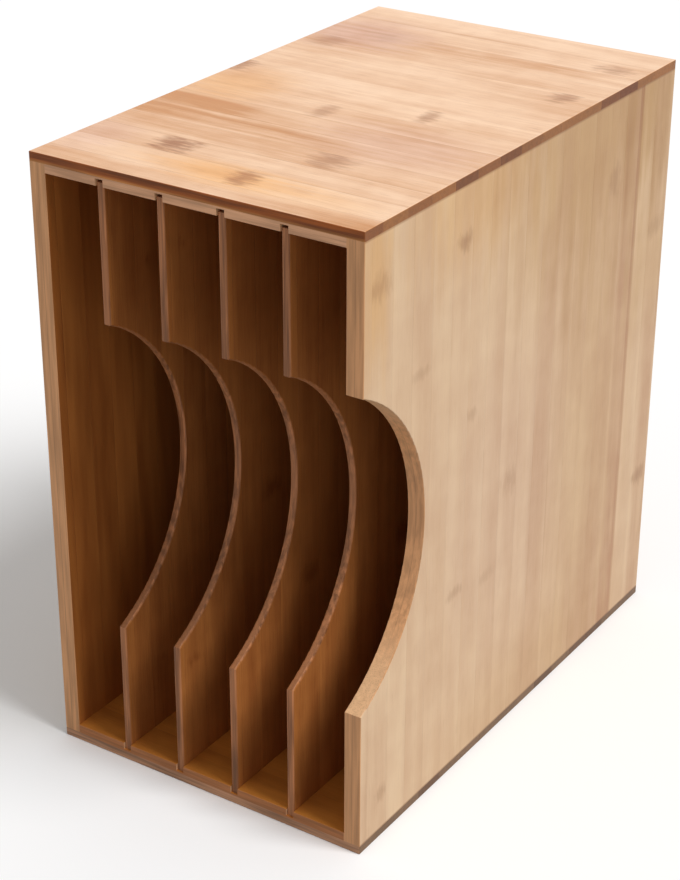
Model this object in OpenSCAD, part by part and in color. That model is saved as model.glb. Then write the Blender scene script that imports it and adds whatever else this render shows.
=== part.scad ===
// Record storage stand: a narrow upright case of laminated bamboo with five bays.
// Origin at the middle of the underside. +Z is up and the open front faces -Y.
// All sizes are in millimetres.

/* [Overall size] */
// Width over the outer faces of the two sides
stand_w = 200; // [150:1:400]
// Depth from the front edge to the back face
stand_d = 324; // [200:1:420]
// Height from the underside to the top surface
stand_h = 350; // [300:1:450]

/* [Case] */
// Thickness of the outer panels that cover the ends of the sides
panel_t = 5; // [3:0.5:12]
// Thickness of the slotted boards between the sides
slotted_t = 5; // [4.5:0.5:12]
// Thickness of the two sides
side_t = 10; // [7:0.5:16]
// Thickness of the back panel
back_t = 5; // [3:0.5:8]
// How far the back panel laps into the rabbet of each side
back_lap = 5; // [2:0.5:5]

/* [Dividers] */
// Thickness of each divider
divider_t = 4.5; // [3:0.5:8]
// How far the dividers' front edges stand behind the case's front edge
divider_inset = 1; // [0:0.5:10]
// Depth of the grooves that the dividers slide in
groove_depth = 4; // [3:0.5:4]
// Free play between a divider and each wall of its groove
groove_play = 0.15; // [0.05:0.05:0.5]
// Gap between a divider's top edge and the bottom of the upper groove
lift_gap = 2; // [0.5:0.5:2.5]

/* [Finger cut-out] */
// Radius of the round cut-out in the front edges
cutout_r = 98; // [80:1:120]
// Depth of the cut-out at its deepest, from the piece's own front edge
cutout_depth = 58.5; // [30:0.5:70]
// Height of the cut-out's centre in the right side
side_cutout_h = 176; // [150:1:190]
// Height of the cut-out's centre in the dividers
divider_cutout_h = 176; // [150:1:190]

/* [Edges] */
// Rounding radius along the case's edges
edge_r = 0.5; // [0.25:0.25:2]
// Rounding radius along the dividers' front edges
divider_edge_r = 1; // [0.25:0.25:1.25]

/* [Hidden] */
$fn = 96;

// Dividers are counted from the left, and part the case into bays of equal width.
divider_count = 4;
inner_w = stand_w - 2 * side_t;
inner_d = stand_d - back_t;
side_h = stand_h - 2 * panel_t;
groove_w = divider_t + 2 * groove_play;
divider_pitch = (inner_w + divider_t) / (divider_count + 1);
divider_d = inner_d - divider_inset;
divider_z = panel_t + slotted_t - groove_depth;
divider_h = stand_h - 2 * divider_z - lift_gap;
front_y = -stand_d / 2;
inner_left_x = -inner_w / 2;

// How far a cutter reaches past the face that it cuts
past = 1;

bamboo_top = "#e8b584";
bamboo_edge = "#a67a58";
bamboo_side = "#d6ad8a";
bamboo_inner = "#9c6238";
bamboo_divider = "#a87a5a";

// Middle of divider number i across the stand
function divider_x(i) = inner_left_x - divider_t / 2 + i * divider_pitch;

// Rectangle from the origin whose named corners are rounded.
// corners holds 1 for round and 0 for square: front left, front right, back right, back left.
module eased_rectangle(size, corners, r) {
    difference() {
        square(size);
        if (corners[0]) corner_waste(r);
        if (corners[1]) translate([size[0], 0]) rotate(90) corner_waste(r);
        if (corners[2]) translate(size) rotate(180) corner_waste(r);
        if (corners[3]) translate([0, size[1]]) rotate(270) corner_waste(r);
    }
}

// What a rounded corner at the origin takes away from the quadrant +X +Y
module corner_waste(r) {
    difference() {
        translate([-past, -past]) square(r + past);
        translate([r, r]) circle(r);
    }
}

// Outer panel with its outer face at z = t: that face's edges and the upright corners are rounded
module outer_panel(w, d, t, r) {
    intersection() {
        translate([-w / 2, -d / 2, 0]) linear_extrude(t) eased_rectangle([w, d], [1, 1, 1, 1], r);
        translate([-w / 2, d / 2, 0]) rotate([90, 0, 0])
            linear_extrude(d) eased_rectangle([w, t], [0, 0, 1, 1], r);
        translate([-w / 2, -d / 2, 0]) rotate([90, 0, 90])
            linear_extrude(w) eased_rectangle([d, t], [0, 0, 1, 1], r);
    }
}

// Board between the sides, with its slotted face down at z = 0 and its front edge at y = 0
module slotted_board() {
    difference() {
        translate([inner_left_x, 0, 0]) rotate([90, 0, 90])
            linear_extrude(inner_w) eased_rectangle([inner_d, slotted_t], [1, 0, 0, 0], edge_r);
        for (i = [1 : divider_count])
            translate([divider_x(i) - groove_w / 2, -past, -past])
                cube([groove_w, inner_d + 2 * past, groove_depth + past]);
    }
}

// Round cut-out through a board of thickness t that stands from x = 0, with its two rims rounded
module finger_cutout(t, r) {
    translate([0, cutout_depth - cutout_r, 0]) rotate([90, 0, 90]) {
        translate([0, 0, -past]) cylinder(r = cutout_r, h = t + 2 * past);
        rim_waste(r);
        translate([0, 0, t]) mirror([0, 0, 1]) rim_waste(r);
    }
}

// What rounding takes away at the cut-out's rim, on the face at z = 0
module rim_waste(r) {
    rotate_extrude() translate([cutout_r, 0]) corner_waste(r);
}

// Plain side with its outer face at x = 0, its front edge at y = 0 and its foot at z = 0.
// Its inner front edge is rounded only between the two slotted boards.
module side_board() {
    difference() {
        linear_extrude(side_h) difference() {
            eased_rectangle([side_t, stand_d], [1, 0, 0, 1], edge_r);
            translate([side_t - back_lap, inner_d]) square([back_lap + past, back_t + past]);
        }
        translate([side_t, 0, slotted_t]) linear_extrude(side_h - 2 * slotted_t)
            rotate(90) corner_waste(edge_r);
    }
}

module top_panel() {
    color(bamboo_top) translate([0, 0, stand_h - panel_t])
        outer_panel(stand_w, stand_d, panel_t, edge_r);
}

module base_panel() {
    color(bamboo_edge) translate([0, 0, panel_t]) mirror([0, 0, 1])
        outer_panel(stand_w, stand_d, panel_t, edge_r);
}

module top_slotted_board() {
    color(bamboo_inner) translate([0, front_y, stand_h - panel_t - slotted_t])
        slotted_board();
}

module base_slotted_board() {
    color(bamboo_inner) translate([0, front_y, panel_t + slotted_t]) mirror([0, 0, 1])
        slotted_board();
}

module left_side() {
    color(bamboo_side) translate([-stand_w / 2, front_y, panel_t])
        side_board();
}

// The right side alone shares the dividers' cut-out
module right_side() {
    color(bamboo_side) translate([stand_w / 2, front_y, panel_t]) mirror([1, 0, 0])
        difference() {
            side_board();
            translate([0, 0, side_cutout_h - panel_t]) finger_cutout(side_t, edge_r);
        }
}

module back_panel() {
    color(bamboo_inner) translate([inner_left_x - back_lap, front_y + inner_d, panel_t])
        cube([inner_w + 2 * back_lap, back_t, side_h]);
}

// Divider number i, standing on the lower groove's bottom with its back edge at the back panel
module divider(i) {
    color(bamboo_divider) translate([divider_x(i) - divider_t / 2, front_y + divider_inset, divider_z])
        difference() {
            linear_extrude(divider_h) eased_rectangle([divider_t, divider_d], [1, 1, 0, 0], divider_edge_r);
            translate([0, 0, divider_cutout_h - divider_z]) finger_cutout(divider_t, divider_edge_r);
        }
}

top_panel();
top_slotted_board();
base_panel();
base_slotted_board();
left_side();
right_side();
back_panel();
divider(1);  // divider_1
divider(2);  // divider_2
divider(3);  // divider_3
divider(4);  // divider_4
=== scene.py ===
"""Looks of the record storage stand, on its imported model.

Each board is finished in lacquered strip bamboo, then the floor, the lights and the camera are set.
Lengths are in metres, in the stand's own frame: +Z is up and the open front faces -Y.
"""
import math
from typing import NamedTuple

import bpy
from bpy.props import FloatProperty, FloatVectorProperty, PointerProperty
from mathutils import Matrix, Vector


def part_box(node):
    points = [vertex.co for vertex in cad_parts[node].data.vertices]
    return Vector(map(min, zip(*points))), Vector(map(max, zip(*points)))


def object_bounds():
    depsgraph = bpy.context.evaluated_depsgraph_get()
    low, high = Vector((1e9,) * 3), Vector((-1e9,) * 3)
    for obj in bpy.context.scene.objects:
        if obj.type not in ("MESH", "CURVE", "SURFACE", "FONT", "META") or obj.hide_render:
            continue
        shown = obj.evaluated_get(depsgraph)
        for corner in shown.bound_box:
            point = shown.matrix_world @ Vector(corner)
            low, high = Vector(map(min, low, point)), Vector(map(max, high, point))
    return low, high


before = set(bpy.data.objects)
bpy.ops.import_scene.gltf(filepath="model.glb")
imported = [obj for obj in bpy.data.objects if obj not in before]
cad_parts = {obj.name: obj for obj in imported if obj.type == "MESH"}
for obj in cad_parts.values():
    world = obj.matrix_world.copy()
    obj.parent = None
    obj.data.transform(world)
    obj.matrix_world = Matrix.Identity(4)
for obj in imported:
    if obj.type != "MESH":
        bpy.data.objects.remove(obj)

bl_info = {
    "name": "Bamboo record stand",
    "version": (1, 0, 0),
    "blender": (4, 5, 0),
    "location": "View3D > Sidebar > Record stand",
    "description": "Finishes a record storage stand in lacquered bamboo and lights it",
    "category": "Object",
}

MM = 0.001
LOW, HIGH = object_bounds()
# Front edge of the case, from which depths are measured
FRONT = LOW.y
DIVIDERS = sorted(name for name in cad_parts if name.startswith("divider_"))


def srgb(code):
    """Linear colour of a hex code such as e8b584."""
    shares = [int(code[i:i + 2], 16) / 255 for i in (0, 2, 4)]
    return tuple(c / 12.92 if c <= 0.04045 else ((c + 0.055) / 1.055) ** 2.4 for c in shares)


# --- Settings ---------------------------------------------------------------------------------


def colour(name, description, code):
    """Setting for a colour, from its hex code."""
    return FloatVectorProperty(
        name=name, description=description, subtype="COLOR", size=3, min=0, max=1,
        default=srgb(code),
    )


def length(name, description, value, high=10.0):
    """Setting for a length in metres."""
    return FloatProperty(
        name=name, description=description, subtype="DISTANCE", unit="LENGTH",
        min=0, max=high, precision=4, default=value,
    )


def share(name, description, value, high=1.0):
    """Setting for a share, from 0 to the highest one."""
    return FloatProperty(
        name=name, description=description, subtype="FACTOR", min=0, max=high, default=value
    )


class BambooSettings(bpy.types.PropertyGroup):
    """Colours and sizes of the bamboo"""

    panel_pale: colour("Panel, pale", "Lightest strips of the top and base panels", "fcd5b2")
    panel_deep: colour("Panel, deep", "Darkest strips of the top and base panels", "d0925e")
    top_edge: colour("Top edge", "Long edges of the top panel", "8e4a1a")
    top_edge_low: colour("Top edge, low", "Lower part of the top panel's long edges", "b87840")
    top_end: colour("Top end", "End grain of the top panel", "9c6434")
    base_edge: colour("Base edge", "Long edges of the base panel", "b78868")
    base_end: colour("Base end", "End grain of the base panel", "7a5c42")
    side_pale: colour("Side, pale", "Lightest strips of the sides and back", "e9c8a2")
    side_deep: colour("Side, deep", "Darkest strips of the sides", "c49672")
    board_edge: colour("Board edge", "Edges of sides and back, dark strips of the back", "daa070")
    board_end: colour("Board end", "End grain of the sides, slotted boards and back", "deb084")
    slotted_edge: colour("Slotted edge", "Front edge of the top slotted board", "e0a981")
    # Front edge of the base slotted board, darkened by painted shade because the low part of the
    # case gets less light
    floor_edge_shaded: colour("Floor edge", "Front edge of the base slotted board", "b47548")
    # Inside colours: the bamboo darkened and saturated by painted shade, as in the shadow of the
    # bays
    inner_pale_shaded: colour("Inside, pale", "Lightest strips inside the case", "be7739")
    inner_deep_shaded: colour("Inside, deep", "Darkest strips inside the case", "8a4a1e")
    # Strips of the base slotted board inside the case: inside colour with painted shade
    bay_floor_pale_shaded: colour("Floor, pale", "Lightest strips of the base slotted board", "e0923f")
    # Divider strips: darker bamboo, deepened further by painted shade from the bays
    divider_pale_and_shade: colour("Divider, pale", "Lightest strips of the dividers", "bf7b40")
    divider_deep_and_shade: colour("Divider, deep", "Darkest strips of the dividers", "8c4e24")
    divider_edge: colour("Divider edge", "Edges and end grain of the dividers", "9c6642")
    knuckle: colour("Knuckle", "Tint of knuckle marks, seams and dark end grain", "a27446")
    gold: colour("Golden cast", "Tint of the golden stretches", "fbeccf")
    mauve: colour("Mauve cast", "Tint of the mauve stretches", "efe8f4")
    # Brown cast: painted shade, darker towards the top, back and bottom of the right side
    painted_shade: colour("Brown cast", "Tint of the brown stretches", "e6dac5")
    strip: length("Strip width", "Width of the strips in sides, back and dividers", 0.0185)
    panel_strip: length("Panel strip width", "Width of the strips in the other boards", 0.0217)
    seam: length("Seam width", "Width of the dark line between two strips", 0.0004)
    knuckle_pitch: length("Knuckle spacing", "Distance between a cane's knuckles", 0.24)
    fibre: share("Fibre", "How strongly the fibres show", 0.5)
    relief: length("Relief", "Depth of the fibres and seams under the lacquer", 0.00012)
    roughness: share("Lacquer roughness", "Roughness of the satin lacquer", 0.42)


class StudioSettings(bpy.types.PropertyGroup):
    """Floor, lights and camera"""

    floor_size: length("Floor size", "Side of the square floor", 16.0, high=100)
    floor_colour: colour("Floor colour", "Colour of the pale floor", "ffffff")
    floor_bounce: share("Floor bounce", "Share of light that the floor throws back", 0.45)
    sky: share("Sky strength", "Even light from all around", 0.45, high=2)
    key: FloatProperty(
        name="Key strength", description="Strength of the main lamp", min=0, default=2.2
    )
    key_angle: FloatProperty(
        name="Key angle", description="How large the main lamp looks from the stand",
        subtype="ANGLE", unit="ROTATION", default=math.radians(25),
    )
    key_from: FloatVectorProperty(
        name="Key direction", description="Where the main lamp's light comes from",
        subtype="DIRECTION", size=3, default=(0.58, 0.06, 0.80),
    )
    camera_place: FloatVectorProperty(
        name="Camera", description="Place of the camera", subtype="TRANSLATION", unit="LENGTH",
        size=3, precision=5, default=(0.58987, -0.92391, 0.70150),
    )
    camera_turn: FloatVectorProperty(
        name="Camera rotation", description="Rotation of the camera", subtype="EULER",
        unit="ROTATION", size=3, default=[math.radians(a) for a in (63.230, -0.166, 33.517)],
    )
    camera_lens: FloatProperty(
        name="Focal length", description="Focal length of the camera, in millimetres",
        default=87.39,
    )


# --- Material building ------------------------------------------------------------------------

# Sockets of a Mix node that blends colours
MIX_FACTOR = 0
MIX_FIRST = 6
MIX_SECOND = 7
MIX_RESULT = 2

# How finely the noises change that look alike in every direction
CLOUDS_PER_METRE = 50.0
WEAR_PER_METRE = 45.0
MOTTLE_PER_METRE = 350.0
PORES_PER_METRE = 1400.0

# How far the streaks move from one strip to the next, in the noise's own units
STRIP_SHIFT = 3.7
# Shares of a band's width, from its middle line: full up to the first and gone at the second
BAND_FULL = 0.35
BAND_GONE = 0.65
# How far before and after its end a band fades
BAND_FADE = 25 * MM


class Tree:
    """Adds nodes to a material or world. Values may be numbers, colours or output sockets."""

    def __init__(self, owner):
        self.nodes = owner.node_tree.nodes
        self.links = owner.node_tree.links

    def node(self, kind, inputs=None, **settings):
        made = self.nodes.new(kind)
        for name, value in settings.items():
            setattr(made, name, value)
        for name, value in (inputs or {}).items():
            self.feed(made.inputs[name], value)
        return made

    def feed(self, socket, value):
        """Wires an output to a socket, or sets the socket to a number or colour."""
        if isinstance(value, bpy.types.NodeSocket):
            self.links.new(value, socket)
        elif socket.type == "RGBA":
            socket.default_value = (*value[:3], 1)
        else:
            socket.default_value = value

    def math(self, operation, *values):
        made = self.node("ShaderNodeMath", operation=operation)
        for socket, value in zip(made.inputs, values):
            self.feed(socket, value)
        return made.outputs[0]

    def vector_math(self, operation, *vectors):
        made = self.node("ShaderNodeVectorMath", operation=operation)
        for socket, vector in zip(made.inputs, vectors):
            self.feed(socket, vector)
        return made.outputs

    def step(self, value, low, high, to_low=0.0, to_high=1.0):
        """Smooth step from to_low, where value is low, to to_high, where it is high."""
        made = self.node("ShaderNodeMapRange", interpolation_type="SMOOTHSTEP")
        ends = {"From Min": low, "From Max": high, "To Min": to_low, "To Max": to_high}
        for name, end in {"Value": value, **ends}.items():
            self.feed(made.inputs[name], end)
        return made.outputs["Result"]

    def oval(self, place, centre, reach, fray):
        """Distance from an oval's centre, which is 1 on the oval, with fray added."""
        offset = self.vector_math("SUBTRACT", place, (*centre, 0))[0]
        shrunk = self.vector_math("DIVIDE", offset, (*reach, 1))[0]
        distance = self.vector_math("LENGTH", shrunk)["Value"]
        return self.math("ADD", distance, fray)

    def split(self, vector):
        return self.node("ShaderNodeSeparateXYZ", {"Vector": vector}).outputs

    def join(self, x, y, z):
        return self.node("ShaderNodeCombineXYZ", {"X": x, "Y": y, "Z": z}).outputs[0]

    def noise(self, vector, detail=2.0, roughness=0.5):
        inputs = {"Vector": vector, "Scale": 1.0, "Detail": detail, "Roughness": roughness}
        return self.node("ShaderNodeTexNoise", inputs).outputs["Fac"]

    def chance(self, number, seed):
        """A random number from 0 to 1 for each whole number."""
        vector = self.join(number, seed, 0.5)
        return self.node("ShaderNodeTexWhiteNoise", {"Vector": vector}).outputs["Value"]

    def blend(self, factor, first, second, mode="MIX"):
        made = self.node("ShaderNodeMix", data_type="RGBA", blend_type=mode, clamp_factor=True)
        self.feed(made.inputs[MIX_FACTOR], factor)
        self.feed(made.inputs[MIX_FIRST], first)
        self.feed(made.inputs[MIX_SECOND], second)
        return made.outputs[MIX_RESULT]

    def scaled(self, vector, factor):
        """A place or colour times a number."""
        made = self.node("ShaderNodeVectorMath", {"Scale": factor}, operation="SCALE")
        self.feed(made.inputs[0], vector)
        return made.outputs[0]


class Board(NamedTuple):
    """How the strips lie in one board, its colours and its own marks."""

    # Axes along the grain, across the strips and through the board's thickness
    along: str
    across: str
    through: str
    # Where the places across are measured from
    origin: float
    # Width of the strips, and place of the first seam
    strip: float
    first_seam: float
    pale: tuple
    deep: tuple
    edge: tuple
    end: tuple
    seed: float = 0.0
    # How much the strips differ in tone, how strongly streaks show and how wide they are
    contrast: float = 0.25
    figure: float = 1.0
    streak: float = 4.5 * MM
    # How dark the seams between the strips are
    seams: float = 0.25
    # How dark the knuckles at chance places are
    knuckles: float = 0.5
    # Way that the face inside the case looks along the through axis: 1, -1, or 0 for no such face
    inward: int = 0
    # Where a glue line runs along the edges, on the through axis
    glue_line: float | None = None
    # Places on the through axis between which the long edges change to the low edge colour
    edge_fade: tuple | None = None
    # How much lighter the arrises can be, partly wear and partly painted highlight
    wear_and_highlight: float = 0.3
    # Places on the grain's axis where other boards cover the ends
    joints: tuple = ()
    # Lists of marks, in millimetres
    marks: tuple = ()
    bands: tuple = ()
    casts: tuple = ()
    # Numbers of the strips whose end grain is dark, each with its darkness
    dark_ends: tuple = ()


class Grain:
    """Coordinates of a board's bamboo, shared by the parts of its material."""

    def __init__(self, tree, board, bamboo):
        self.tree, self.board, self.bamboo = tree, board, bamboo
        coordinates = tree.node("ShaderNodeTexCoord")
        place = dict(zip("xyz", tree.split(coordinates.outputs["Object"])))
        facing = dict(zip("xyz", tree.split(coordinates.outputs["Normal"])))
        self.along, self.through = place[board.along], place[board.through]
        self.across = tree.math("SUBTRACT", place[board.across], board.origin)
        self.outward = facing[board.through]
        self.facing_along = tree.math("ABSOLUTE", facing[board.along])
        self.facing_across = tree.math("ABSOLUTE", facing[board.across])
        self.facing_through = tree.math("ABSOLUTE", facing[board.through])
        shifted = tree.math("SUBTRACT", self.across, board.first_seam)
        strips = tree.math("DIVIDE", shifted, board.strip)
        self.number = tree.math("FLOOR", strips)
        self.from_middle = tree.math("SUBTRACT", tree.math("FRACT", strips), 0.5)
        to_seam = tree.math("SUBTRACT", 0.5, tree.math("ABSOLUTE", self.from_middle))
        self.from_seam = tree.math("MULTIPLY", to_seam, board.strip)
        self.on_face = tree.join(self.along, self.across, 0.0)
        self.in_wood = tree.join(self.along, self.across, self.through)
        self.tone = tree.chance(self.number, board.seed)
        self.fine = self.streaks(35 * MM, 0.6 * MM, seed=1.0, detail=3.0, roughness=0.65)
        medium = self.streaks(70 * MM, board.streak, seed=2.0, detail=3.5)
        self.medium = tree.step(medium, 0.26, 0.74)
        broad = self.streaks(130 * MM, 16 * MM, seed=3.0, detail=1.0)
        self.broad = tree.step(broad, 0.3, 0.7)
        self.clouds = tree.noise(tree.scaled(self.on_face, CLOUDS_PER_METRE))

    def streaks(self, length, width, seed, detail=2.0, roughness=0.5):
        """Noise drawn out along the grain, different in each strip."""
        tree = self.tree
        shift = tree.math("MULTIPLY", self.number, STRIP_SHIFT)
        place = tree.join(
            tree.math("MULTIPLY_ADD", self.along, 1 / length, shift),
            tree.math("MULTIPLY", self.across, 1 / width),
            tree.math("MULTIPLY_ADD", self.through, 1 / width, seed + self.board.seed),
        )
        return tree.noise(place, detail, roughness)

    def seam_lines(self, darkness=1.0):
        """The fine lines between the strips."""
        seam = self.bamboo.seam
        return self.tree.step(self.from_seam, seam, seam * 0.2, to_high=darkness)

    def in_strip(self, number):
        """1 in the strip of this number, and 0 elsewhere."""
        return self.tree.math("COMPARE", self.number, float(number), 0.5)


def smudge(tree, place, centre, reach, fray):
    """Soft ragged patch with a darker heart."""
    distance = tree.oval(place, centre, reach, fray)
    heart = tree.step(distance, 0.60, 0.05, to_high=0.40)
    return tree.math("ADD", heart, tree.step(distance, 0.95, 0.35, to_high=0.60))


def knuckle_marks(grain):
    """How dark the smudges are where the canes' knuckles cross the strips."""
    tree, board, bamboo = grain.tree, grain.board, grain.bamboo
    ragged = grain.streaks(9 * MM, 2.6 * MM, seed=7.0)
    fray = tree.math("MULTIPLY_ADD", ragged, 1.3, -0.65)
    phase = tree.chance(grain.number, board.seed + 1.5)
    turns = tree.math("ADD", tree.math("DIVIDE", grain.along, bamboo.knuckle_pitch), phase)
    from_mark = tree.math("SUBTRACT", tree.math("FRACT", turns), 0.5)
    beside = tree.join(
        tree.math("MULTIPLY", from_mark, bamboo.knuckle_pitch),
        tree.math("MULTIPLY", grain.from_middle, board.strip),
        0.0,
    )
    which = tree.chance(grain.number, board.seed + 2.5)
    strength = tree.step(which, 0.35, 1.0, to_high=board.knuckles)
    smaller = tree.math("MULTIPLY_ADD", tree.chance(grain.number, board.seed + 3.5), 0.5, fray)
    by_chance = smudge(tree, beside, (0, 0), (11 * MM, board.strip), smaller)
    total = tree.math("MULTIPLY", by_chance, strength)
    for along, across, length_along, width, dark in board.marks:
        centre, reach = (along * MM, across * MM), (length_along * MM, width * MM)
        mark = smudge(tree, grain.on_face, centre, reach, fray)
        strip = math.floor((across * MM - board.first_seam) / board.strip)
        shown = tree.math("MULTIPLY", grain.in_strip(strip), dark)
        total = tree.math("MAXIMUM", total, tree.math("MULTIPLY", mark, shown))
    return tree.math("MULTIPLY", total, tree.math("MULTIPLY_ADD", grain.fine, 0.6, 0.7))


def banded(grain, tone):
    """A tone with the board's long bands added: deeper ones, and paler ones below 0."""
    tree = grain.tree
    streaky = tree.math("MULTIPLY_ADD", grain.medium, 0.5, 0.65)
    for start, stop, across, width, dark in grain.board.bands:
        middle, half = (start + stop) / 2 * MM, (stop - start) / 2 * MM
        lengthways = tree.math("ABSOLUTE", tree.math("SUBTRACT", grain.along, middle))
        sideways = tree.math("ABSOLUTE", tree.math("SUBTRACT", grain.across, across * MM))
        within = tree.step(sideways, width * BAND_GONE * MM, width * BAND_FULL * MM)
        faded = tree.step(lengthways, half + BAND_FADE, half - BAND_FADE, to_high=dark)
        band = tree.math("MULTIPLY", tree.math("MULTIPLY", within, faded), streaky)
        tone = tree.math("ADD", tone, band)
    return tone


def broad_face(grain):
    """Look of a broad face: strips, fibres, bands, casts, knuckles and seams."""
    tree, board, bamboo = grain.tree, grain.board, grain.bamboo
    tone = tree.math("MULTIPLY", grain.tone, board.contrast)
    tone = tree.math("MULTIPLY_ADD", grain.medium, 0.26 * board.figure, tone)
    tone = tree.math("MULTIPLY_ADD", grain.broad, 0.26, tone)
    tone = tree.math("MULTIPLY_ADD", tree.math("SUBTRACT", grain.clouds, 0.5), 0.45, tone)
    fibres = tree.math("SUBTRACT", grain.fine, 0.5)
    tone = tree.math("MULTIPLY_ADD", fibres, bamboo.fibre * board.figure, tone)
    face = tree.blend(banded(grain, tone), board.pale, board.deep)
    # Tinted stretches; the brown ones are painted shade
    for along, across, reach_along, reach_across, tint, strength in board.casts:
        fray = tree.math("MULTIPLY_ADD", grain.medium, 0.3, -0.15)
        centre, reach = (along * MM, across * MM), (reach_along * MM, reach_across * MM)
        distance = tree.oval(grain.on_face, centre, reach, fray)
        spread = tree.step(distance, 1.0, 0.15, to_high=strength)
        face = tree.blend(spread, face, getattr(bamboo, tint), "MULTIPLY")
    threads = grain.streaks(14 * MM, 0.28 * MM, seed=9.0, detail=1.0)
    vessels = tree.step(threads, 0.60, 0.72, to_high=0.3 * board.figure)
    lines = [tree.math("MULTIPLY", grain.seam_lines(board.seams), grain.tone)]
    # Dark lines at the joints: a dark joint with painted shade where the panels cover the sides
    for joint in board.joints:
        from_joint = tree.math("ABSOLUTE", tree.math("SUBTRACT", grain.along, joint))
        lines.append(tree.step(from_joint, 1.4 * MM, 0.2 * MM, to_high=0.50))
    for mark in (vessels, knuckle_marks(grain), *lines):
        face = tree.blend(mark, face, bamboo.knuckle, "MULTIPLY")
    return face


def long_edge(grain):
    """Look of the edges that run with the grain: fine lines and lighter patches."""
    tree, board, figure = grain.tree, grain.board, grain.board.figure
    spots = grain.streaks(45 * MM, 2.5 * MM, seed=5.0, detail=3.0)
    patches = tree.step(spots, 0.3, 0.7, 1 - 0.38 * figure, 1 + 0.50 * figure)
    threads = grain.streaks(60 * MM, 0.5 * MM, seed=6.0)
    lines = tree.step(threads, 0.3, 0.7, 1 - 0.14 * figure, 1 + 0.10 * figure)
    level = tree.math("MULTIPLY", patches, lines)
    if board.glue_line is not None:
        from_line = tree.math("ABSOLUTE", tree.math("SUBTRACT", grain.through, board.glue_line))
        level = tree.math("MULTIPLY", level, tree.step(from_line, 0.5 * MM, 0.1 * MM, 1.0, 0.82))
    colour = board.edge
    if board.edge_fade is not None:
        low_down = tree.step(grain.through, *board.edge_fade)
        colour = tree.blend(low_down, board.edge, grain.bamboo.top_edge_low)
    return tree.scaled(colour, level)


def end_grain(grain):
    """Look of the sawn ends: dark pores, and strips of different tone."""
    tree, board = grain.tree, grain.board
    packed = tree.scaled(tree.join(grain.across, grain.through, grain.along), PORES_PER_METRE)
    cells = tree.node("ShaderNodeTexVoronoi", {"Vector": packed, "Scale": 1.0})
    porous = tree.step(cells.outputs["Distance"], 0.1, 0.5, 0.78, 1.05)
    mottle = tree.noise(tree.scaled(grain.in_wood, MOTTLE_PER_METRE), detail=3.0)
    level = tree.math("MULTIPLY_ADD", mottle, 0.5, 0.65)
    level = tree.math("MULTIPLY_ADD", grain.tone, 0.2, level)
    end = tree.scaled(board.end, tree.math("MULTIPLY", level, porous))
    for number, dark in board.dark_ends:
        darker = tree.math("MULTIPLY", grain.in_strip(number), dark)
        end = tree.blend(darker, end, grain.bamboo.knuckle, "MULTIPLY")
    return end


def arris_wear_and_highlight(grain):
    """How much lighter the arrises of edges and ends are, in uneven stretches: wear and painted
    highlight.
    """
    tree, board, facing = grain.tree, grain.board, grain.facing_through
    bulge = tree.math("MULTIPLY", facing, tree.math("SUBTRACT", 1.0, facing))
    spread = tree.noise(tree.scaled(grain.in_wood, WEAR_PER_METRE))
    stretches = tree.step(spread, 0.3, 0.7, board.wear_and_highlight * 0.2, board.wear_and_highlight)
    return tree.math("MULTIPLY_ADD", tree.step(bulge, 0.02, 0.2), stretches, 1.0)


def bamboo_material(name, board, bamboo):
    """Lacquered strip bamboo, with its own look on broad faces, long edges and end grain."""
    material = bpy.data.materials.new(name)
    material.use_nodes = True
    tree = Tree(material)
    grain = Grain(tree, board, bamboo)
    look = broad_face(grain)
    # Faces inside the case take the inside colours, which hold painted shade
    if board.inward:
        inside = tree.step(tree.math("MULTIPLY", grain.outward, board.inward), 0.3, 0.8)
        inner_tone = tree.math("MULTIPLY", grain.broad, 0.4)
        inner_tone = tree.math("MULTIPLY_ADD", grain.medium, 0.4, inner_tone)
        shaded_inner_face = tree.blend(inner_tone, bamboo.inner_pale_shaded, bamboo.inner_deep_shaded)
        look = tree.blend(inside, look, shaded_inner_face)
    # Arrises lightened: partly wear, partly painted highlight
    worn_and_lit = arris_wear_and_highlight(grain)
    on_edge = tree.step(grain.facing_across, 0.2, 0.55)
    look = tree.blend(on_edge, look, tree.scaled(long_edge(grain), worn_and_lit))
    on_end = tree.step(grain.facing_along, 0.5, 0.85)
    look = tree.blend(on_end, look, tree.scaled(end_grain(grain), worn_and_lit))
    height = tree.math("SUBTRACT", grain.fine, grain.seam_lines())
    relief = {"Height": height, "Distance": bamboo.relief, "Strength": 0.6}
    bump = tree.node("ShaderNodeBump", relief)
    fibres = tree.math("SUBTRACT", grain.fine, 0.5)
    shine = tree.math("MULTIPLY_ADD", fibres, 0.25, bamboo.roughness)
    shader = tree.nodes["Principled BSDF"]
    shader.inputs["Specular IOR Level"].default_value = 0.22
    tree.feed(shader.inputs["Base Color"], look)
    tree.feed(shader.inputs["Roughness"], shine)
    tree.feed(shader.inputs["Normal"], bump.outputs[0])
    return material


def finish(node, material):
    """Gives a packed board its material."""
    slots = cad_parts[node].material_slots
    if not slots:
        raise RuntimeError(f"{node} has no material slot")
    for slot in slots:
        slot.material = material


# --- Where the bamboo's marks lie, in millimetres. Depths are from the case's front edge. -------
# In the bands, a darkness below 0 is a paler band.

# Top panel: X, depth, length along the grain, width, darkness
TOP_MARKS = (
    (12, 28, 14, 18, 0.62),
    (-45, 50, 17, 20, 0.78),
    (34, 72, 18, 20, 0.46),
    (-13, 134, 9, 21, 0.40),
    (38, 159, 8, 20, 0.55),
    (-98, 178, 12, 22, 0.60),
    (81, 227, 11, 16, 0.58),
    (-84, 245, 17, 18, 0.28),
    (80, 285, 17, 11, 0.50),
    (-58, 269, 20, 14, 0.15),
)
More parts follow.
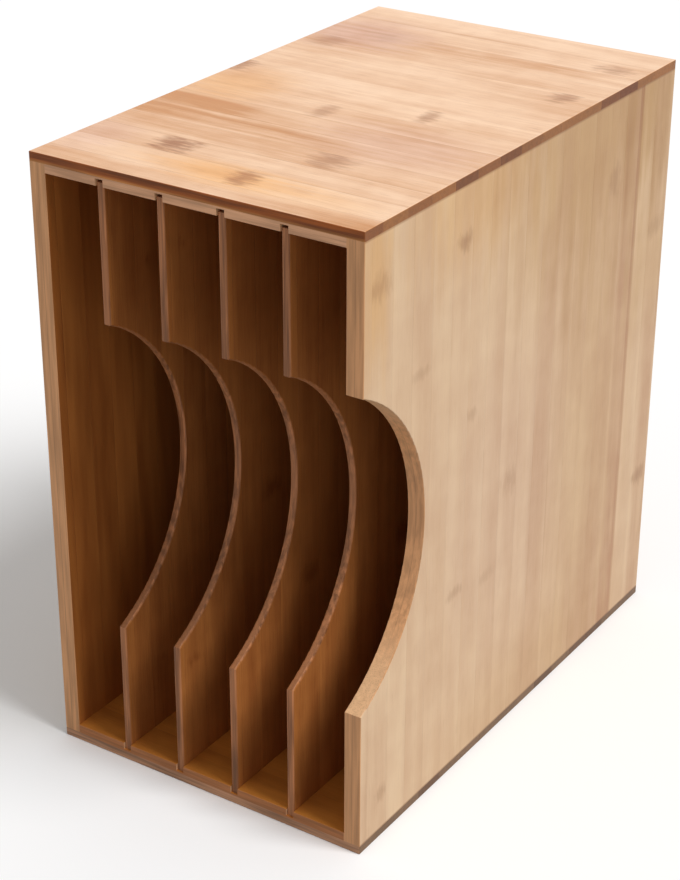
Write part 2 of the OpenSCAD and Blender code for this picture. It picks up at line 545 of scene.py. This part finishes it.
# Top panel: from X, to X, depth, width, darkness
TOP_BANDS = (
    (-38, 70, 268, 13, 0.45),
    (-100, -20, 245, 17, 0.25),
    (-5, 55, 135, 16, 0.30),
    (-140, -48, 111, 17, 0.88),
    (-120, 30, 91, 17, 0.58),
    (30, 120, 93, 14, 0.18),
    (-65, -40, 6, 12, 0.20),
    (30, 120, 6, 12, 0.32),
    (-70, 75, 8, 20, -0.25),
    (-120, 120, 27, 24, -0.20),
    # Paler band at the back: partly a paler strip, partly painted sheen
    (-120, 120, 312, 24, -0.30),
    (-60, 80, 200, 70, -0.12),
    (30, 120, 225, 42, 0.16),
    (45, 130, 251, 15, -0.28),
    (-65, -15, 133, 12, 0.24),
    (-110, -20, 98, 10, 0.24),
    (10, 58, 101, 14, -0.26),
    (-20, 120, 45, 12, -0.24),
)
# Top panel: X, depth, reach along X, reach across, tint, strength
TOP_CASTS = (
    (5, 27, 75, 20, "gold", 1.0),
    (0, 24, 55, 22, "gold", 0.6),
    (62, 22, 45, 22, "gold", 0.4),
    (-80, 147, 45, 42, "gold", 0.9),
    (-75, 268, 60, 45, "mauve", 1.0),
    (50, 108, 75, 45, "mauve", 0.6),
    (-90, 40, 30, 40, "mauve", 0.6),
)
# Number of each strip with dark end grain, counted from 0 at the first seam, and its darkness
TOP_DARK_ENDS = (
    (-1, 0.50),
    (1, 0.30),
    (2, 0.12),
    (3, 0.60),
    (4, 0.36),
    (5, 0.60),
    (6, 0.20),
    (10, 0.58),
    (11, 0.75),
)
BASE_DARK_ENDS = ((2, 0.45), (8, 0.45), (10, 0.45), (11, 0.45))
# Outer panels: depth of the first seam
PANEL_FIRST_SEAM = 15.65
# Top panel: how far below its upper face its front edge starts and stops to change colour
TOP_EDGE_FADE = (3.2, 4.9)

# Right side: height, depth, length along the grain, width, darkness
SIDE_MARKS = (
    (318, 12, 11, 20, 0.30),
    (28, 21, 7, 12, 0.32),
    (259, 52, 5, 14, 0.21),
    (316, 91, 8, 11, 0.44),
    (115, 91, 5, 14, 0.26),
    (216, 104, 6, 9, 0.23),
    (109, 124, 6, 14, 0.16),
    (159, 149, 12, 17, 0.24),
    (299, 255, 14, 10, 0.27),
    (254, 312, 9, 17, 0.22),
    (90, 314, 9, 14, 0.38),
)
# Right side: from height, to height, depth, width, darkness
SIDE_BANDS = (
    (-60, 400, 276, 17, 0.42),
    (-60, 125, 275, 19, 0.22),
    (180, 400, 284, 4, 0.40),
    (-40, 180, 284, 4, 0.28),
    (-50, 400, 256, 18, 0.18),
    (-50, 200, 200, 10, 0.16),
    (200, 400, 219, 18, 0.14),
    (150, 400, 33, 18, -0.12),
    (-50, 120, 33, 18, -0.12),
    (-50, 90, 235, 40, 0.22),
    (-60, 300, 181, 22, 0.24),
    (-60, 210, 317, 20, 0.36),
    (-60, 85, 15, 26, 0.26),
)
# Right side: height, depth, reach along Z, reach across, tint, strength
# Casts with the brown tint are painted shade
SIDE_CASTS = (
    (345, 225, 150, 150, "painted_shade", 1.0),
    (345, 100, 70, 90, "gold", 0.7),
    (150, 240, 240, 70, "painted_shade", 0.5),
    (10, 180, 60, 160, "painted_shade", 0.45),
    (150, 140, 150, 110, "mauve", 0.35),
    (335, 300, 90, 50, "painted_shade", 0.7),
    (325, 10, 75, 24, "gold", 0.9),
    (240, 308, 80, 40, "painted_shade", 0.6),
)
# Sides: depth of the first seam
SIDE_FIRST_SEAM = 6.5


# --- Operators --------------------------------------------------------------------------------


class STAND_OT_outer_panels(bpy.types.Operator):
    """Finish the top and base panels, whose strips run from side to side"""

    bl_idname = "stand.outer_panels"
    bl_label = "Outer panels"

    def execute(self, context):
        bamboo = context.scene.stand_bamboo
        top = Board(
            along="x", across="y", through="z",
            origin=FRONT, strip=bamboo.panel_strip, first_seam=PANEL_FIRST_SEAM * MM,
            pale=bamboo.panel_pale, deep=bamboo.panel_deep,
            edge=bamboo.top_edge, end=bamboo.top_end,
            seed=4.0, seams=0.3, knuckles=0.0, wear_and_highlight=0.1,
            edge_fade=tuple(HIGH.z - below * MM for below in TOP_EDGE_FADE),
            marks=TOP_MARKS, bands=TOP_BANDS, casts=TOP_CASTS, dark_ends=TOP_DARK_ENDS,
        )
        finish("top_panel", bamboo_material("bamboo_top", top, bamboo))
        base = top._replace(
            edge=bamboo.base_edge, end=bamboo.base_end, seed=9.0, knuckles=0.6, edge_fade=None,
            marks=(), bands=(), casts=(), dark_ends=BASE_DARK_ENDS,
        )
        finish("base_panel", bamboo_material("bamboo_base", base, bamboo))
        return {"FINISHED"}


class STAND_OT_slotted_boards(bpy.types.Operator):
    """Finish the two slotted boards that carry the dividers"""

    bl_idname = "stand.slotted_boards"
    bl_label = "Slotted boards"

    def execute(self, context):
        bamboo = context.scene.stand_bamboo
        # The slotted boards' broad faces lie inside the case and take the inside colours, with
        # painted shade
        slotted = Board(
            along="x", across="y", through="z",
            origin=FRONT, strip=bamboo.panel_strip, first_seam=0.0,
            pale=bamboo.inner_pale_shaded, deep=bamboo.inner_deep_shaded,
            edge=bamboo.slotted_edge, end=bamboo.board_end,
            seed=11.0, figure=0.5, wear_and_highlight=0.0,
        )
        finish("top_slotted_board", bamboo_material("bamboo_top_slotted", slotted, bamboo))
        # The base slotted board's face and front edge carry painted shade
        lower = slotted._replace(pale=bamboo.bay_floor_pale_shaded, edge=bamboo.floor_edge_shaded, seed=12.0)
        finish("base_slotted_board", bamboo_material("bamboo_base_slotted", lower, bamboo))
        return {"FINISHED"}


class STAND_OT_sides(bpy.types.Operator):
    """Finish the two sides, whose strips stand upright"""

    bl_idname = "stand.sides"
    bl_label = "Sides"

    def execute(self, context):
        bamboo = context.scene.stand_bamboo
        side_low, side_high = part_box("right_side")
        right = Board(
            along="z", across="y", through="x",
            origin=FRONT, strip=bamboo.strip, first_seam=SIDE_FIRST_SEAM * MM,
            pale=bamboo.side_pale, deep=bamboo.side_deep,
            edge=bamboo.board_edge, end=bamboo.board_end,
            seed=21.0, contrast=0.08, figure=0.4, streak=7 * MM, seams=0.10, knuckles=0.0, wear_and_highlight=0.0,
            inward=-1, glue_line=(side_low[0] + side_high[0]) / 2,
            joints=(side_low[2], side_high[2]),
            marks=SIDE_MARKS, bands=SIDE_BANDS, casts=SIDE_CASTS,
        )
        finish("right_side", bamboo_material("bamboo_right_side", right, bamboo))
        left = right._replace(
            seed=22.0, knuckles=0.4, inward=1, glue_line=-right.glue_line,
            marks=(), bands=(), casts=(),
        )
        finish("left_side", bamboo_material("bamboo_left_side", left, bamboo))
        return {"FINISHED"}


class STAND_OT_back_panel(bpy.types.Operator):
    """Finish the back panel, whose strips stand upright"""

    bl_idname = "stand.back_panel"
    bl_label = "Back panel"

    def execute(self, context):
        bamboo = context.scene.stand_bamboo
        back = Board(
            along="z", across="x", through="y",
            origin=0.0, strip=bamboo.strip, first_seam=0.0,
            pale=bamboo.side_pale, deep=bamboo.board_edge,
            edge=bamboo.board_edge, end=bamboo.board_end,
            seed=31.0, contrast=0.12, figure=0.6, inward=-1,
        )
        finish("back_panel", bamboo_material("bamboo_back", back, bamboo))
        return {"FINISHED"}


class STAND_OT_dividers(bpy.types.Operator):
    """Finish the dividers that slide in the grooves"""

    bl_idname = "stand.dividers"
    bl_label = "Dividers"

    def execute(self, context):
        bamboo = context.scene.stand_bamboo
        # Each divider's seed also sets its first seam, so that no two have theirs alike
        for seed, node in enumerate(DIVIDERS, 41):
            # Divider faces: darker bamboo with painted shade
            divider = Board(
                along="z", across="y", through="x",
                origin=FRONT, strip=bamboo.strip, first_seam=seed * MM,
                pale=bamboo.divider_pale_and_shade, deep=bamboo.divider_deep_and_shade,
                edge=bamboo.divider_edge, end=bamboo.divider_edge, seed=seed,
            )
            finish(node, bamboo_material(f"bamboo_{node}", divider, bamboo))
        return {"FINISHED"}


class STAND_OT_studio(bpy.types.Operator):
    """Lay the pale floor and set the lights and the camera"""

    bl_idname = "stand.studio"
    bl_label = "Studio"

    def execute(self, context):
        studio = context.scene.stand_studio
        lay_floor(context, studio)
        light_world(context, studio)
        hang_key_lamp(context, studio)
        place_camera(context, studio)
        context.scene.view_settings.view_transform = "Standard"
        return {"FINISHED"}


def seen_directly(tree):
    """1 for what the camera sees, also as a reflection or through glass, and 0 for other light."""
    path = tree.node("ShaderNodeLightPath").outputs
    glossy = tree.math("MAXIMUM", path["Is Glossy Ray"], path["Is Transmission Ray"])
    return tree.math("MAXIMUM", path["Is Camera Ray"], glossy)


def lay_floor(context, studio):
    """Pale floor under the stand, which throws back only a part of the light."""
    half = studio.floor_size / 2
    mesh = bpy.data.meshes.new("floor")
    square = ((-half, -half), (half, -half), (half, half), (-half, half))
    corners = [(x, y, LOW.z) for x, y in square]
    mesh.from_pydata(corners, [], [(0, 1, 2, 3)])
    floor = bpy.data.objects.new("floor", mesh)
    context.collection.objects.link(floor)
    material = bpy.data.materials.new("floor")
    material.use_nodes = True
    tree = Tree(material)
    bounce = [c * studio.floor_bounce for c in studio.floor_colour]
    shader = tree.nodes["Principled BSDF"]
    look = tree.blend(seen_directly(tree), bounce, studio.floor_colour)
    tree.feed(shader.inputs["Base Color"], look)
    shader.inputs["Roughness"].default_value = 0.9
    shader.inputs["Specular IOR Level"].default_value = 0.0
    mesh.materials.append(material)


def light_world(context, studio):
    """Even light from all around, and plain white where it is seen itself."""
    world = bpy.data.worlds.new("studio")
    world.use_nodes = True
    context.scene.world = world
    tree = Tree(world)
    shader = tree.nodes["Background"]
    shader.inputs["Color"].default_value = (1, 1, 1, 1)
    strength = tree.step(seen_directly(tree), 0.0, 1.0, studio.sky, 1.0)
    tree.feed(shader.inputs["Strength"], strength)


def hang_key_lamp(context, studio):
    """Main lamp, large enough for soft shadows."""
    lamp = bpy.data.lights.new("key", "SUN")
    lamp.energy = studio.key
    lamp.angle = studio.key_angle
    holder = bpy.data.objects.new("key", lamp)
    holder.rotation_euler = Vector(studio.key_from).to_track_quat("Z", "Y").to_euler()
    context.collection.objects.link(holder)


def place_camera(context, studio):
    """Camera at the place from which the photo was taken."""
    camera = bpy.data.cameras.new("camera")
    camera.lens = studio.camera_lens
    holder = bpy.data.objects.new("camera", camera)
    holder.location = studio.camera_place
    holder.rotation_euler = studio.camera_turn
    context.collection.objects.link(holder)
    context.scene.camera = holder


class STAND_PT_sidebar(bpy.types.Panel):
    """The stand's finishes, piece by piece"""

    bl_idname = "STAND_PT_sidebar"
    bl_label = "Record stand"
    bl_space_type = "VIEW_3D"
    bl_region_type = "UI"
    bl_category = "Record stand"

    def draw(self, context):
        for operator in OPERATORS:
            self.layout.operator(operator.bl_idname)
        for settings in (context.scene.stand_bamboo, context.scene.stand_studio):
            column = self.layout.column()
            for name in settings.__annotations__:
                column.prop(settings, name)


OPERATORS = (
    STAND_OT_outer_panels,
    STAND_OT_slotted_boards,
    STAND_OT_sides,
    STAND_OT_back_panel,
    STAND_OT_dividers,
    STAND_OT_studio,
)
CLASSES = (BambooSettings, StudioSettings, *OPERATORS, STAND_PT_sidebar)


def register():
    for cls in CLASSES:
        bpy.utils.register_class(cls)
    bpy.types.Scene.stand_bamboo = PointerProperty(type=BambooSettings)
    bpy.types.Scene.stand_studio = PointerProperty(type=StudioSettings)


def unregister():
    del bpy.types.Scene.stand_studio
    del bpy.types.Scene.stand_bamboo
    for cls in reversed(CLASSES):
        bpy.utils.unregister_class(cls)


def main():
    register()
    bpy.ops.stand.outer_panels()
    bpy.ops.stand.slotted_boards()
    bpy.ops.stand.sides()
    bpy.ops.stand.back_panel()
    bpy.ops.stand.dividers()
    bpy.ops.stand.studio()


if __name__ == "__main__":
    main()
